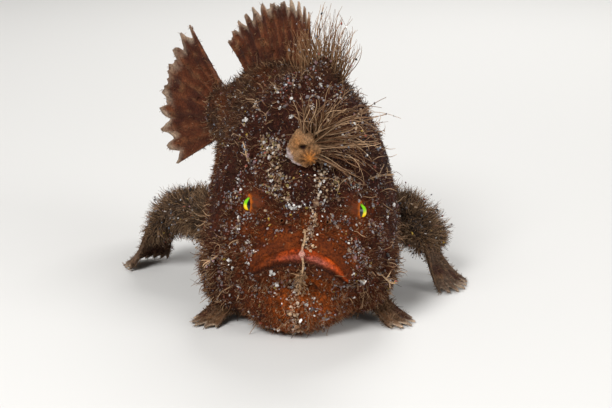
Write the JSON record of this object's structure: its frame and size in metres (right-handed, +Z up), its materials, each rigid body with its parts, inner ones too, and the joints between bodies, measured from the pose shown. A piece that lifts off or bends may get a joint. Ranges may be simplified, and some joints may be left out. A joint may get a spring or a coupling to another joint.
{
  "type": "frogfish",
  "caption": "Small hairy frogfish resting on belly and fins, head raised, lips closed, threads on its dorsal spines, tail swung to one side.",
  "frame": {"origin": "middle of the flat of the belly, on the floor", "axes": "+Z up; -Y the way the head faces; +X the fish's left; the tail swings to -X"},
  "size_m": [0.0626, 0.0765, 0.0508],
  "materials": {
    "skin": "rough, fuzzy skin",
    "fins": "thin rayed skin",
    "spines": "soft threads",
    "eyes": "wet and glossy"
  },
  "bodies": {
    "root": {"head": "skin", "lower_jaw": "skin", "torso": "skin", "tail": "skin", "pectoral_arm_left": "skin", "pectoral_arm_right": "skin", "caudal_fin": "fins", "soft_dorsal_fin": "fins", "anal_fin": "fins", "pectoral_fin_left": "fins", "pectoral_fin_right": "fins", "pelvic_fin_left": "fins", "pelvic_fin_right": "fins", "illicium": "spines", "second_dorsal_spine": "spines", "third_dorsal_spine": "spines", "eye_left": "eyes", "eye_right": "eyes"}
  },
  "joints": []
}
